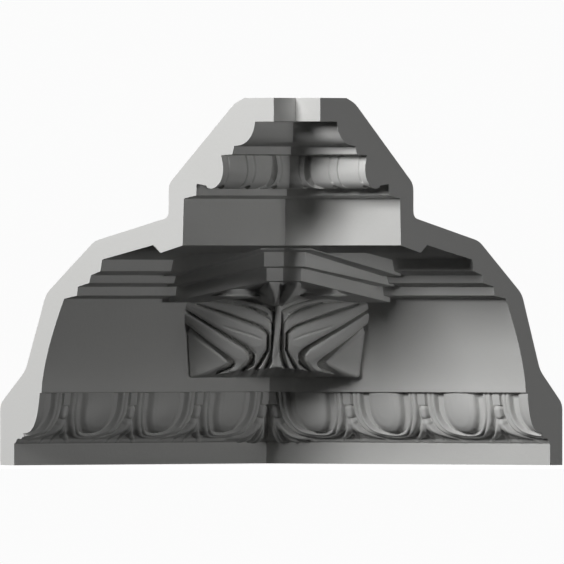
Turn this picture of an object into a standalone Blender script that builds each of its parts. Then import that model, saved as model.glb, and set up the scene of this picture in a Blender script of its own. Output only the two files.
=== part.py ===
"""Inside corner moulding: a cornice corner cast in one piece, with two mitred arms, two bands of egg and dart, and a
leaf-carved bracket in the angle.

Run with: blender --background --python part.py
Metres, +Z up. X runs across the corner and +Y into it. The origin is the bottom centre of the whole piece's box.
"""

import math

import bmesh
import bpy
from mathutils import Matrix, Vector

NAME = "inside_corner_moulding"

# Each arm, measured along its wall from the corner to the square-cut end
ARM_LENGTH = 0.305

# Members of the moulded face from the foot up: how far each steps out from the wall, and how far it rises
BASE_PROJECTION = 0.0143
BASE_HEIGHT = 0.0165
OVOLO_LEDGE = (0.0006, 0.0004)
OVOLO_STEP = (0.0201, 0.0383)
OVOLO_BOW = (0.84, 0.11)
FRIEZE_LEDGE = (0.0075, 0.0003)
FRIEZE_STEP = (0.0234, 0.0720)
FRIEZE_BOW = (0.06, 0.37)
BED_LEDGES = ((0.0130, 0.0023), (0.0115, 0.0027), (0.0095, 0.0030))
BED_FACES = ((0.0011, 0.0069), (0.0020, 0.0061), (0.0020, 0.0089))
SOFFIT_STEP = (0.0520, 0.0110)
DRIP_STEP = (0.0077, -0.0060)
CORONA_SOFFIT_STEP = (0.0226, 0.0057)
CORONA_FACE_STEP = (0.0012, 0.0357)
CORONA_LEDGE = (0.0126, 0.0023)
CORONA_FILLET = (0.0004, 0.0088)
BEAD_LEDGE = (0.0107, -0.0014)
BEAD_STEP = (0.0130, 0.0230)
BEAD_BOW = (1.22, 0.12)
CROWN_LEDGE = (0.0127, 0.0008)
CROWN_FILLET = (0.0019, 0.0062)
CROWN_OVOLO_LEDGE = (0.0072, 0.0009)
CROWN_OVOLO_STEP = (0.0139, 0.0176)
CROWN_OVOLO_BOW = (0.90, 0.23)
CEILING_LIP_STEP = 0.0191
CEILING_LIP_HEIGHT = 0.0180

# The plain back: how far it lies behind and above the face at each of its corners, and how its corners are rounded
BACK_AT_FRIEZE_FOOT = (-0.0165, 0.0170)
BACK_AT_FRIEZE_HEAD = (-0.0187, 0.0037)
BACK_AT_SOFFIT = (-0.0080, 0.0142)
BACK_AT_CORONA_FOOT = (-0.0143, 0.0213)
BACK_AT_CORONA_HEAD = (-0.0155, 0.0111)
CEILING_FACE_WIDTH = 0.0300
CEILING_CHAMFER = (0.0098, 0.0040)
WALL_FACE_BELOW_FRIEZE = 0.0085
BACK_ROUNDING = 0.005

# Big egg and dart, carved on the ovolo. An egg and its shell have straight sides down to a shoulder below the band's
# head, and a round foot that drops from there
EGGS_PER_ARM = 4
FIRST_DART = 0.042
EGG_SHOULDER = 0.0102
EGG_HALF_WIDTH = 0.0173
EGG_DROP = 0.0233
EGG_CROWN = 0.0058
SHELL_HALF_WIDTH = 0.0330
SHELL_DROP = 0.0300
SHELL_RIDGE = 0.0044

# Ribs of a dart, each a run of stations: across from the dart's line, share of the band's height, how proud, radius
DART_STEM = (
    (0, 1.05, 0.001, 0.0034), (0, 0.87, 0.001, 0.0034), (0, 0.84, 0, 0.0020), (0, 0.57, 0, 0.0020),
)
DART_MIDDLE_LOBE = (
    (0.0004, 0.64, 0, 0.0012), (0.0014, 0.48, 0, 0.0030), (0.0034, 0.30, 0, 0.0020), (0.0050, -0.03, 0, 0.0013),
)
DART_SIDE_LOBE = (
    (0.0020, 0.62, 0, 0.0014), (0.0055, 0.46, 0, 0.0031), (0.0105, 0.30, 0, 0.0034), (0.0175, 0.16, 0, 0.0024),
    (0.0270, -0.03, 0, 0.0011),
)
CORNER_LOBE_REACH = 0.0085
DART_BEAD = 0.0044
DART_BEAD_HEIGHT = 0.72
DART_BEAD_PROUD = 0.0013

# Small egg and dart, carved on the bead under the crown
SMALL_PITCHES_PER_ARM = 10
FIRST_SMALL_DART = 0.2074
SMALL_EGG_SHOULDER = 0.0010
SMALL_EGG_HALF_WIDTH = 0.0088
SMALL_EGG_DROP = 0.0198
SMALL_EGG_CROWN = 0.0038
SMALL_SHELL_HALF_WIDTH = 0.0128
SMALL_SHELL_DROP = 0.0256
SMALL_SHELL_RIDGE = 0.0028
SMALL_DART = ((0, 1.05, 0, 0.0013), (0, 0.6, 0, 0.0013), (0, 0.25, 0, 0.0021), (0, 0.06, 0, 0.0008))

# Section of an egg and of the shell round it: shares of the egg's half width and crown, then shares of the gap from
# the egg out to the shell's edge and of the shell's ridge
EGG_SECTION = ((0.0, 1.0), (0.50, 0.92), (0.84, 0.60), (1.0, -0.1))
SHELL_SECTION = ((0.24, 0.05), (0.47, 0.85), (0.64, 1.0), (0.70, 0.72), (0.80, 0.92), (1.0, 0.35))
SMALL_SHELL_SECTION = ((0.35, 0.75), (0.65, 1.0), (1.0, 0.5))

# Cap of the bracket in the angle: three fasciae, each with how far its front stands out from the wall, how wide that
# front is beside the mitre, and how far its side spreads from there to the wall
CAP_FRONTS = ((0.1660, 0.0188), (0.1715, 0.0224), (0.1790, 0.0272))
CAP_FLARES = (0.0072, 0.0137, 0.0175)
CAP_FRONT_HEIGHTS = (0.1410, 0.1520, 0.1650)
CAP_SLOPES = (0.175, 0.177, 0.248)

# Crest of the bracket's leaf, curling out under the cap: rows of places, each out from the wall, along it and up,
# and each row running from the mitre to the wall
CREST_ROWS = (
    (
        (0.110, 0.110, 0.1200), (0.110, 0.113, 0.1200), (0.102, 0.127, 0.1270),
        (0.095, 0.134, 0.1270), (0.080, 0.149, 0.1270), (0.062, 0.163, 0.1270),
    ),
    (
        (0.140, 0.140, 0.1270), (0.140, 0.146, 0.1275), (0.130, 0.150, 0.1285),
        (0.124, 0.169, 0.1285), (0.092, 0.169, 0.1285), (0.066, 0.168, 0.1280),
    ),
    (
        (0.156, 0.156, 0.1320), (0.156, 0.168, 0.1320), (0.143, 0.160, 0.1320),
        (0.130, 0.175, 0.1320), (0.098, 0.172, 0.1320), (0.068, 0.169, 0.1320),
    ),
    (
        (0.162, 0.162, 0.1380), (0.162, 0.179, 0.1380), (0.147, 0.171, 0.1380),
        (0.132, 0.178, 0.1380), (0.100, 0.173, 0.1380), (0.070, 0.170, 0.1380),
    ),
    (
        (0.163, 0.163, 0.1450), (0.163, 0.181, 0.1450), (0.150, 0.179, 0.1450),
        (0.133, 0.178, 0.1450), (0.100, 0.174, 0.1450), (0.070, 0.171, 0.1450),
    ),
)

# Bell of the bracket, facing out along the mitre. Its rows: height, half its width, and how far from the corner its
# edges and its nose stand
BELL_ROWS = (
    (0.0660, 0.0640, 0.1265, 0.1490),
    (0.0760, 0.0650, 0.1285, 0.1520),
    (0.0860, 0.0665, 0.1320, 0.1600),
    (0.0980, 0.0680, 0.1380, 0.1660),
    (0.1100, 0.0695, 0.1470, 0.1680),
    (0.1180, 0.0705, 0.1540, 0.1650),
    (0.1280, 0.0710, 0.1590, 0.1620),
)
BELL_COLUMNS = 7
BELL_UNDERSIDE = (0.0440, 0.0666)
BELL_UNDERSIDE_RISE = 0.125

# Grooves that part the leaf's lobes, from the frieze round to the lower edge: places across from the mitre and up
LEAF_GROOVES = (
    ((0.0640, 0.1278), (0.0300, 0.1275), (0.0120, 0.1230), (-0.0015, 0.1150), (-0.0015, 0.0880), (-0.0015, 0.0720)),
    ((0.0660, 0.1265), (0.0340, 0.1243), (0.0200, 0.1205), (0.0038, 0.1110), (0.0034, 0.0880), (0.0090, 0.0720)),
    ((0.0665, 0.1245), (0.0400, 0.1160), (0.0070, 0.1040), (0.0068, 0.0880), (0.0175, 0.0710)),
    ((0.0655, 0.1150), (0.0470, 0.1040), (0.0185, 0.0870), (0.0190, 0.0790), (0.0310, 0.0690)),
    ((0.0645, 0.1035), (0.0490, 0.0910), (0.0335, 0.0790), (0.0350, 0.0755), (0.0520, 0.0680)),
)
GROOVE_ROUNDING = 0.008
GROOVE_DEPTH = 0.0015
LOBE_CROWN = 0.0042
LOBE_CROWN_TO_WIDTH = 0.30
LOBE_SECTION = ((0.16, 0.80), (0.50, 1.0), (0.84, 0.80))
LEAF_STATIONS = 12
LEAF_ABOVE_UNDERSIDE = 0.0006
MIDRIB_RADIUS = 0.0022

OVERLAP = 0.004
SAW_CLEARANCE = 0.020
COLOUR = (0.80, 0.80, 0.785, 1.0)
ROUGHNESS = 0.62
ROUND_STEPS = 6
TURN_STEPS = 16
SMALL_TURN_STEPS = 12


def pair(value):
    """A point of the section: distance from the wall, and height."""
    return Vector((value[0], value[1]))


def add(point, *steps):
    """The point reached from another by the steps given."""
    return sum((pair(step) for step in steps), pair(point))


def bowed(start, step, bow, steps=ROUND_STEPS):
    """Points of a curve from start over step. The bow is the control point, as shares of that step."""
    end = start + pair(step)
    control = start + Vector((bow[0] * step[0], bow[1] * step[1]))
    points = []
    for index in range(steps + 1):
        t = index / steps
        points.append((1 - t) ** 2 * start + 2 * t * (1 - t) * control + t * t * end)
    return points


# Corners of the face, each reached from the one below it
BASE_HEAD = pair((BASE_PROJECTION, BASE_HEIGHT))
OVOLO_FOOT = add(BASE_HEAD, OVOLO_LEDGE)
OVOLO_HEAD = add(OVOLO_FOOT, OVOLO_STEP)
FRIEZE_FOOT = add(OVOLO_HEAD, FRIEZE_LEDGE)
FRIEZE_HEAD = add(FRIEZE_FOOT, FRIEZE_STEP)
SOFFIT_FOOT = add(FRIEZE_HEAD, *BED_LEDGES, *BED_FACES)
SOFFIT_HEAD = add(SOFFIT_FOOT, SOFFIT_STEP)
DRIP = add(SOFFIT_HEAD, DRIP_STEP)
CORONA_FOOT = add(DRIP, CORONA_SOFFIT_STEP)
CORONA_HEAD = add(CORONA_FOOT, CORONA_FACE_STEP)
CORONA_FILLET_FOOT = add(CORONA_HEAD, CORONA_LEDGE)
CORONA_FILLET_HEAD = add(CORONA_FILLET_FOOT, CORONA_FILLET)
BEAD_FOOT = add(CORONA_FILLET_HEAD, BEAD_LEDGE)
BEAD_HEAD = add(BEAD_FOOT, BEAD_STEP)
CROWN_FOOT = add(BEAD_HEAD, CROWN_LEDGE)
CROWN_HEAD = add(CROWN_FOOT, CROWN_FILLET)
CROWN_OVOLO_FOOT = add(CROWN_HEAD, CROWN_OVOLO_LEDGE)
CROWN_OVOLO_HEAD = add(CROWN_OVOLO_FOOT, CROWN_OVOLO_STEP)
LIP_FOOT = add(CROWN_OVOLO_HEAD, (CEILING_LIP_STEP, 0))
LIP_HEAD = add(LIP_FOOT, (0, CEILING_LIP_HEIGHT))

PROJECTION = LIP_HEAD.x
HEIGHT = LIP_HEAD.y
CORNER_Y = (ARM_LENGTH + PROJECTION) / (2 * math.sqrt(2))

# An arm's own frame: X out from its wall, Y along the wall from the corner, Z up
ARM_FRAME = Matrix.Translation((0, CORNER_Y, 0)) @ Matrix.Rotation(math.radians(-135), 4, "Z")


def bed_corners():
    """The bed mould's three fasciae, each a ledge and then a face."""
    corner = FRIEZE_HEAD
    corners = []
    for ledge, face in zip(BED_LEDGES, BED_FACES):
        corner = add(corner, ledge)
        corners.append(corner)
        corner = add(corner, face)
        corners.append(corner)
    return corners


def face_outline():
    """The moulded face, from the foot up to the ceiling."""
    return [
        pair((BASE_PROJECTION, 0)),
        BASE_HEAD,
        *bowed(OVOLO_FOOT, OVOLO_STEP, OVOLO_BOW),
        *bowed(FRIEZE_FOOT, FRIEZE_STEP, FRIEZE_BOW),
        *bed_corners(),
        SOFFIT_HEAD,
        DRIP,
        CORONA_FOOT,
        CORONA_HEAD,
        CORONA_FILLET_FOOT,
        CORONA_FILLET_HEAD,
        *bowed(BEAD_FOOT, BEAD_STEP, BEAD_BOW),
        CROWN_FOOT,
        CROWN_HEAD,
        *bowed(CROWN_OVOLO_FOOT, CROWN_OVOLO_STEP, CROWN_OVOLO_BOW),
        LIP_FOOT,
        LIP_HEAD,
    ]


def rounded(corners, radius, steps=3):
    """The same open outline with each inner corner replaced by a short curve."""
    points = [corners[0]]
    for before, corner, after in zip(corners, corners[1:], corners[2:]):
        reach = min(radius, 0.45 * (before - corner).length, 0.45 * (after - corner).length)
        start = corner + (before - corner).normalized() * reach
        end = corner + (after - corner).normalized() * reach
        for index in range(steps + 1):
            t = index / steps
            points.append((1 - t) ** 2 * start + 2 * t * (1 - t) * corner + t * t * end)
    return points + [corners[-1]]


def back_outline():
    """The plain back, from the ceiling down to the foot of the wall face."""
    ceiling_edge = pair((PROJECTION - CEILING_FACE_WIDTH, HEIGHT))
    corona_back = add(CORONA_HEAD, BACK_AT_CORONA_HEAD)
    corners = [
        ceiling_edge,
        add(ceiling_edge, (-CEILING_CHAMFER[0], -CEILING_CHAMFER[1])),
        corona_back,
        pair((corona_back.x, add(CORONA_FOOT, BACK_AT_CORONA_FOOT).y)),
        add(SOFFIT_FOOT, BACK_AT_SOFFIT),
        add(FRIEZE_HEAD, BACK_AT_FRIEZE_HEAD),
        add(FRIEZE_FOOT, BACK_AT_FRIEZE_FOOT),
        pair((0, FRIEZE_FOOT.y - WALL_FACE_BELOW_FRIEZE)),
    ]
    return [*rounded(corners, BACK_ROUNDING), pair((0, 0))]


def collection(name):
    """A new collection in the scene."""
    made = bpy.data.collections.new(name)
    bpy.context.scene.collection.children.link(made)
    return made


def as_mesh(source, name, home):
    """A mesh object in place of a curve or of an object with modifiers, with its loose caps welded on."""
    bpy.context.view_layer.update()
    graph = bpy.context.evaluated_depsgraph_get()
    mesh = bpy.data.meshes.new_from_object(source.evaluated_get(graph))
    made = bpy.data.objects.new(name, mesh)
    made.matrix_world = source.matrix_world
    home.objects.link(made)
    data = source.data
    bpy.data.objects.remove(source)
    (bpy.data.curves if isinstance(data, bpy.types.Curve) else bpy.data.meshes).remove(data)
    return facing_out(made)


def facing_out(thing):
    """Welds a closed mesh's loose edges and turns its faces outward."""
    sheet = bmesh.new()
    sheet.from_mesh(thing.data)
    bmesh.ops.remove_doubles(sheet, verts=sheet.verts, dist=0.00001)
    bmesh.ops.recalc_face_normals(sheet, faces=sheet.faces)
    sheet.to_mesh(thing.data)
    sheet.free()
    thing.data.shade_flat()
    return thing


def guide(thing):
    """Marks a solid that only joins or cuts another."""
    thing.hide_render = True
    thing.display_type = "WIRE"
    return thing


def slab(name, outline, thickness, frame, home):
    """A flat outline given a thickness, centred on the frame's XY plane."""
    curve = bpy.data.curves.new(name, "CURVE")
    curve.dimensions = "2D"
    curve.fill_mode = "BOTH"
    curve.extrude = thickness / 2
    spline = curve.splines.new("POLY")
    spline.points.add(len(outline) - 1)
    for point, corner in zip(spline.points, outline):
        point.co = (corner[0], corner[1], 0, 1)
    spline.use_cyclic_u = True
    drawn = bpy.data.objects.new(name + "_outline", curve)
    drawn.matrix_world = frame
    home.objects.link(drawn)
    return as_mesh(drawn, name, home)


def section_frame(along):
    """The frame of a section of the arm at a distance along its wall: X out from the wall, Y up."""
    return ARM_FRAME @ Matrix.Translation((0, along, 0)) @ Matrix.Rotation(math.radians(90), 4, "X")


def strand(name, stations, home, roundness=0):
    """A tapering rib through stations of the arm's frame, each a place and a radius."""
    curve = bpy.data.curves.new(name, "CURVE")
    curve.dimensions = "3D"
    curve.bevel_depth = 1.0
    curve.bevel_resolution = roundness
    curve.use_fill_caps = True
    spline = curve.splines.new("POLY")
    spline.points.add(len(stations) - 1)
    for point, (place, radius) in zip(spline.points, stations):
        point.co = (*place, 1)
        point.radius = radius
    drawn = bpy.data.objects.new(name + "_path", curve)
    drawn.matrix_world = ARM_FRAME
    home.objects.link(drawn)
    return guide(as_mesh(drawn, name, home))


class Band:
    """A carved band of the face, where a place is given along the arm, up the band and proud of its ground."""

    def __init__(self, foot, step, bow):
        self.points = bowed(foot, step, bow, 24)
        lengths = [0.0]
        for lower, upper in zip(self.points, self.points[1:]):
            lengths.append(lengths[-1] + (upper - lower).length)
        self.lengths = lengths
        self.height = lengths[-1]

    def place(self, along, up, proud):
        """A place in the arm's frame. Past its ends the band runs straight on."""
        last = len(self.points) - 2
        index = 0
        while index < last and self.lengths[index + 1] < up:
            index += 1
        lower, upper = self.points[index], self.points[index + 1]
        tangent = (upper - lower).normalized()
        normal = Vector((tangent.y, -tangent.x))
        point = lower + tangent * (up - self.lengths[index]) + normal * proud
        return Vector((point.x, along, point.y))


def turned_egg(name, egg, shell, profile, steps, shoulder, band, along, home):
    """An egg in its shell: a profile turned round, drawn out to the drops of the egg and the shell, and laid on the band.

    The half above the centre runs straight up into the member over the band.
    """
    mesh = bpy.data.meshes.new(name + "_profile")
    points = [(radius, 0, height) for radius, height in profile]
    mesh.from_pydata(points, [(i, i + 1) for i in range(len(points) - 1)], [])
    wire = bpy.data.objects.new(name + "_profile", mesh)
    home.objects.link(wire)
    screw = wire.modifiers.new("turn", "SCREW")
    screw.steps = screw.render_steps = steps
    screw.use_merge_vertices = True
    screw.merge_threshold = 0.00001
    made = as_mesh(wire, name, home)
    centre = band.height - shoulder
    spread = math.cos(2 * math.pi / steps)
    for vertex in made.data.vertices:
        across, rise, proud = vertex.co
        radius = math.hypot(across, rise)
        if rise > OVERLAP / 100:
            across /= spread
            up = band.height + OVERLAP / 4 + rise / shell[0] * OVERLAP / 2
        else:
            up = centre + rise / max(radius, OVERLAP / 100) * drop_at(radius, egg, shell)
        vertex.co = band.place(along + across, up, proud)
    made.matrix_world = ARM_FRAME
    return guide(facing_out(made))


def drop_at(radius, egg, shell):
    """How far a ring reaches below the centre it is turned round, from the half widths and drops of egg and shell."""
    if radius <= egg[0]:
        return radius * egg[1] / egg[0]
    return egg[1] + (radius - egg[0]) / (shell[0] - egg[0]) * (shell[1] - egg[1])


def egg_profile(egg, crown, shell, ridge, shell_section):
    """Half the section of an egg and of the shell round it, from the crown out and down to a buried root."""
    points = [(across * egg, proud * crown) for across, proud in EGG_SECTION]
    points += [(egg + across * (shell - egg), proud * ridge) for across, proud in shell_section]
    return points + [(shell, -OVERLAP), (0, -OVERLAP)]


def rib(name, stations, band, along, home, side=1):
    """A rib laid on a band, through stations measured from a place along the arm."""
    laid = [(band.place(along + side * across, share * band.height, proud), radius)
            for across, share, proud, radius in stations]
    strand(name, laid, home)


def big_band(home):
    """Eggs, shells and darts on the ovolo."""
    band = Band(OVOLO_FOOT, OVOLO_STEP, OVOLO_BOW)
    pitch = ARM_LENGTH / EGGS_PER_ARM
    egg = (EGG_HALF_WIDTH, EGG_DROP)
    shell = (SHELL_HALF_WIDTH, SHELL_DROP)
    profile = egg_profile(EGG_HALF_WIDTH, EGG_CROWN, SHELL_HALF_WIDTH, SHELL_RIDGE, SHELL_SECTION)
    for index in range(EGGS_PER_ARM + 1):
        dart = FIRST_DART + index * pitch
        if index:
            turned_egg(f"egg_{index}", egg, shell, profile, TURN_STEPS, EGG_SHOULDER, band, dart - pitch / 2, home)
        if dart < ARM_LENGTH:
            big_dart(index, band, dart, home)


def big_dart(index, band, along, home):
    """A beaded stem that opens into a leaf of four lobes. By the corner the lobe next to the mitre hangs straight."""
    rib(f"stem_{index}", DART_STEM, band, along, home)
    for side, name in ((-1, "left"), (1, "right")):
        room = CORNER_LOBE_REACH if index == 0 and side < 0 else SHELL_HALF_WIDTH
        side_lobe = [(min(across, room), *rest) for across, *rest in DART_SIDE_LOBE]
        rib(f"{name}_middle_lobe_{index}", DART_MIDDLE_LOBE, band, along, home, side)
        rib(f"{name}_side_lobe_{index}", side_lobe, band, along, home, side)
    sheet = bmesh.new()
    bmesh.ops.create_uvsphere(sheet, u_segments=8, v_segments=4, radius=DART_BEAD)
    mesh = bpy.data.meshes.new(f"bead_{index}")
    sheet.to_mesh(mesh)
    sheet.free()
    bead = bpy.data.objects.new(f"bead_{index}", mesh)
    place = band.place(along, DART_BEAD_HEIGHT * band.height, DART_BEAD_PROUD)
    bead.matrix_world = ARM_FRAME @ Matrix.Translation(place)
    home.objects.link(guide(bead))


def small_band(home):
    """Eggs, shells and darts on the bead under the crown."""
    band = Band(BEAD_FOOT, BEAD_STEP, BEAD_BOW)
    pitch = ARM_LENGTH / SMALL_PITCHES_PER_ARM
    egg = (SMALL_EGG_HALF_WIDTH, SMALL_EGG_DROP)
    shell = (SMALL_SHELL_HALF_WIDTH, SMALL_SHELL_DROP)
    profile = egg_profile(
        SMALL_EGG_HALF_WIDTH, SMALL_EGG_CROWN, SMALL_SHELL_HALF_WIDTH, SMALL_SHELL_RIDGE, SMALL_SHELL_SECTION
    )
    dart = FIRST_SMALL_DART
    while dart < ARM_LENGTH + pitch:
        index = round((dart - FIRST_SMALL_DART) / pitch)
        turned_egg(
            f"small_egg_{index}", egg, shell, profile, SMALL_TURN_STEPS, SMALL_EGG_SHOULDER, band, dart + pitch / 2,
            home,
        )
        rib(f"small_dart_{index}", SMALL_DART, band, dart, home)
        dart += pitch


def cap_tier(index, home):
    """One fascia of the bracket's cap: its plan, with sides flaring to the wall, sheared to the soffit's slope."""
    front, strip = CAP_FRONTS[index]
    corner = bed_corners()[2 * index + 1]
    side = front + strip
    flare = CAP_FLARES[index] / (front - corner.x)
    back = corner.x - 2 * OVERLAP
    plan = [
        (back, back - OVERLAP),
        (front, front - SAW_CLEARANCE),
        (front, side),
        (back, side + flare * (front - back)),
    ]
    tier = slab(f"cap_{index}", plan, 1.0, ARM_FRAME, home)
    last = index == len(CAP_FRONTS) - 1
    for vertex in tier.data.vertices:
        out = front - vertex.co.x
        bottom = CAP_FRONT_HEIGHTS[index] - CAP_SLOPES[index] * out
        if last:
            top = SOFFIT_HEAD.y + OVERLAP + (vertex.co.x - SOFFIT_HEAD.x) * SOFFIT_STEP[1] / SOFFIT_STEP[0]
        else:
            top = CAP_FRONT_HEIGHTS[index + 1] - CAP_SLOPES[index + 1] * (CAP_FRONTS[index + 1][0] - vertex.co.x)
            top += OVERLAP
        vertex.co.z = top if vertex.co.z > 0 else bottom
    guide(tier)


def lofted(name, front, back, home):
    """A closed solid in the arm's frame between two grids of places of the same rows and columns."""
    rows, columns = len(front), len(front[0])
    sheet = bmesh.new()
    near = [[sheet.verts.new(place) for place in row] for row in front]
    far = [[sheet.verts.new(place) for place in row] for row in back]
    for i in range(rows - 1):
        for j in range(columns - 1):
            sheet.faces.new((near[i][j], near[i][j + 1], near[i + 1][j + 1], near[i + 1][j]))
            sheet.faces.new((far[i][j], far[i + 1][j], far[i + 1][j + 1], far[i][j + 1]))
    for i in range(rows - 1):
        for j in (0, columns - 1):
            sheet.faces.new((near[i][j], near[i + 1][j], far[i + 1][j], far[i][j]))
    for j in range(columns - 1):
        for i in (0, rows - 1):
            sheet.faces.new((near[i][j], near[i][j + 1], far[i][j + 1], far[i][j]))
    bmesh.ops.triangulate(sheet, faces=sheet.faces)
    mesh = bpy.data.meshes.new(name)
    sheet.to_mesh(mesh)
    sheet.free()
    made = bpy.data.objects.new(name, mesh)
    made.matrix_world = ARM_FRAME
    home.objects.link(made)
    return guide(facing_out(made))


def on_diagonal(across, out, height):
    """The place in the arm's frame a distance across from the mitre and a distance out from the corner."""
    return Vector(((out - across) / math.sqrt(2), (out + across) / math.sqrt(2), height))


def bell_face(across, height):
    """How far out from the corner the bracket's bell stands."""
    lower, upper = BELL_ROWS[0], BELL_ROWS[1]
    for first, second in zip(BELL_ROWS, BELL_ROWS[1:]):
        if height >= first[0]:
            lower, upper = first, second
    share = (height - lower[0]) / (upper[0] - lower[0])
    half, edge, nose = (a + (b - a) * share for a, b in zip(lower[1:], upper[1:]))
    return edge + (nose - edge) * math.sqrt(max(0.0, 1 - (across / half) ** 2))


def above_underside(place, clear=0.0):
    """The same place, raised to the bell's sloping underside, or clear of it, if it lies lower."""
    lowest = BELL_UNDERSIDE[1] + BELL_UNDERSIDE_RISE * (place.x - BELL_UNDERSIDE[0]) + clear
    return Vector((place.x, place.y, max(place.z, lowest)))


def in_frieze(place):
    """The place behind another, back along the diagonal to just inside the face that the bracket grows from."""
    face = bowed(FRIEZE_FOOT, FRIEZE_STEP, FRIEZE_BOW)
    for lower, upper in zip(face, face[1:]):
        if place.z <= upper.y:
            break
    share = (place.z - lower.y) / (upper.y - lower.y)
    out = lower.x + (upper.x - lower.x) * share if share < 1 else upper.x + place.z - upper.y
    back = place.x - out + OVERLAP
    return place - Vector((back, back, 0))


def crest(home):
    """The leaf's crest, spreading from the bell's head to the cap."""
    front = []
    for row in CREST_ROWS:
        out, along, height = row[0]
        front.append([Vector(place) for place in ((out, along - SAW_CLEARANCE, height), *row)])
    lofted("crest", front, [[in_frieze(place) for place in row] for row in front], home)


def bell(home):
    """The bracket's rounded bell under its crest, its underside sloping up from the frieze."""
    front = []
    for index, (height, half, _, _) in enumerate(BELL_ROWS):
        turns = [math.radians(90) * j / (BELL_COLUMNS - 1) for j in range(-2, BELL_COLUMNS)]
        row = [on_diagonal(half * math.sin(turn), bell_face(half * math.sin(turn), height), height) for turn in turns]
        front.append([above_underside(place) for place in row] if index == 0 else row)
    back = [[in_frieze(place) for place in row] for row in front]
    back[0] = [Vector((place.x, place.y, BELL_UNDERSIDE[1] - BELL_UNDERSIDE_RISE * OVERLAP)) for place in back[0]]
    lofted("bell", front, back, home)


def resampled(points, count):
    """The same open line as evenly spaced points."""
    lengths = [0.0]
    for first, second in zip(points, points[1:]):
        lengths.append(lengths[-1] + (second - first).length)
    made = []
    for index in range(count):
        wanted = lengths[-1] * index / (count - 1)
        leg = max(i for i in range(len(points) - 1) if lengths[i] <= wanted + 1e-9)
        share = (wanted - lengths[leg]) / (lengths[leg + 1] - lengths[leg])
        made.append(points[leg].lerp(points[leg + 1], share))
    return made


def leaf(home):
    """The leaf on the bell: lobes crowned between grooves, from the frieze round to the bell's lower edge."""
    grooves = [resampled(rounded([pair(place) for place in groove], GROOVE_ROUNDING), LEAF_STATIONS)
               for groove in LEAF_GROOVES]
    front = []
    back = []
    for station in zip(*grooves):
        section = [(station[0], -GROOVE_DEPTH)]
        for first, second in zip(station, station[1:]):
            crown = min(LOBE_CROWN, LOBE_CROWN_TO_WIDTH * (second - first).length)
            section += [(first.lerp(second, share), rise * crown) for share, rise in LOBE_SECTION]
            section.append((second, -GROOVE_DEPTH))
        row = [on_diagonal(place.x, bell_face(place.x, place.y) + rise, place.y) for place, rise in section]
        front.append([above_underside(place, LEAF_ABOVE_UNDERSIDE) for place in row])
        back.append([above_underside(place - Vector((2 * OVERLAP, 2 * OVERLAP, 0)), LEAF_ABOVE_UNDERSIDE)
                     for place in row])
    lofted("leaf", front, back, home)


def midrib(home):
    """The leaf's rib, down the bell on the line of the mitre."""
    stations = [(above_underside(on_diagonal(0, nose, height), 2 * LEAF_ABOVE_UNDERSIDE), MIDRIB_RADIUS)
                for height, _, _, nose in reversed(BELL_ROWS)]
    strand("midrib", stations, home, roundness=1)


def bracket(home):
    """The cap, the bell under it and the leaf that wraps the bell."""
    for index in range(len(CAP_FRONTS)):
        cap_tier(index, home)
    crest(home)
    bell(home)
    leaf(home)
    midrib(home)


def block(name, size, centre, upward, home):
    """A rectangular block in the arm's frame, with its own Z turned to the direction given."""
    sheet = bmesh.new()
    bmesh.ops.create_cube(sheet, size=1.0)
    bmesh.ops.scale(sheet, verts=sheet.verts, vec=size)
    mesh = bpy.data.meshes.new(name)
    sheet.to_mesh(mesh)
    sheet.free()
    made = guide(bpy.data.objects.new(name, mesh))
    turn = Vector(upward).to_track_quat("Z", "Y").to_matrix().to_4x4()
    made.matrix_world = ARM_FRAME @ Matrix.Translation(centre) @ turn
    home.objects.link(made)
    return made


def saw(home):
    """The square cut at the end of the arm."""
    reach = 2 * (PROJECTION + HEIGHT)
    depth = 4 * SAW_CLEARANCE
    return block("end_saw", (reach, depth, reach), (0, ARM_LENGTH + depth / 2, 0), (0, 0, 1), home)


def plaster_white():
    """The factory primer on the cast foam."""
    finish = bpy.data.materials.new("primed_polyurethane")
    finish.use_nodes = True
    shader = finish.node_tree.nodes["Principled BSDF"]
    shader.inputs["Base Color"].default_value = COLOUR
    shader.inputs["Roughness"].default_value = ROUGHNESS
    shader.inputs["Metallic"].default_value = 0.0
    finish.diffuse_color = COLOUR
    return finish


def main():
    for old in list(bpy.data.objects):
        bpy.data.objects.remove(old)
    home = collection(NAME)
    carving = collection("carving")
    cutters = collection("cutters")
    outline = face_outline() + back_outline()
    start = -SAW_CLEARANCE
    end = ARM_LENGTH + SAW_CLEARANCE
    arm = slab(NAME, outline, end - start, section_frame((start + end) / 2), home)
    big_band(carving)
    small_band(carving)
    bracket(carving)

    join = arm.modifiers.new("carving", "BOOLEAN")
    join.operation = "UNION"
    join.operand_type = "COLLECTION"
    join.collection = carving
    join.solver = "EXACT"
    cut = arm.modifiers.new("square_end", "BOOLEAN")
    cut.operation = "DIFFERENCE"
    cut.object = saw(cutters)
    cut.solver = "EXACT"
    mitre_plane = bpy.data.objects.new("mitre_plane", None)
    home.objects.link(mitre_plane)
    mitre = arm.modifiers.new("mitre", "MIRROR")
    mitre.mirror_object = mitre_plane
    mitre.use_axis = (True, False, False)
    mitre.use_bisect_axis = (True, False, False)
    mitre.bisect_threshold = 0.000001
    mitre.merge_threshold = 0.00001
    arm.data.materials.clear()
    arm.data.materials.append(plaster_white())


main()
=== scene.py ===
"""Inside corner moulding, dressed for its render: a cornice corner cast in one piece and primed matt white.

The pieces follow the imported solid, one for each part of the casting's face, and stand in for it.
Lengths are in metres, but in millimetres in the classes that say so.
A place on an arm is given out from its wall, along it from the corner of the room, and up.
A place on the bracket is given across from the mitre, out from the corner of the room, and up.
"""

import logging
import math
from collections.abc import Sequence
from dataclasses import dataclass
from enum import Enum
from typing import Any

import bmesh
import bpy
import numpy as np
from mathutils import Matrix


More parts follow.
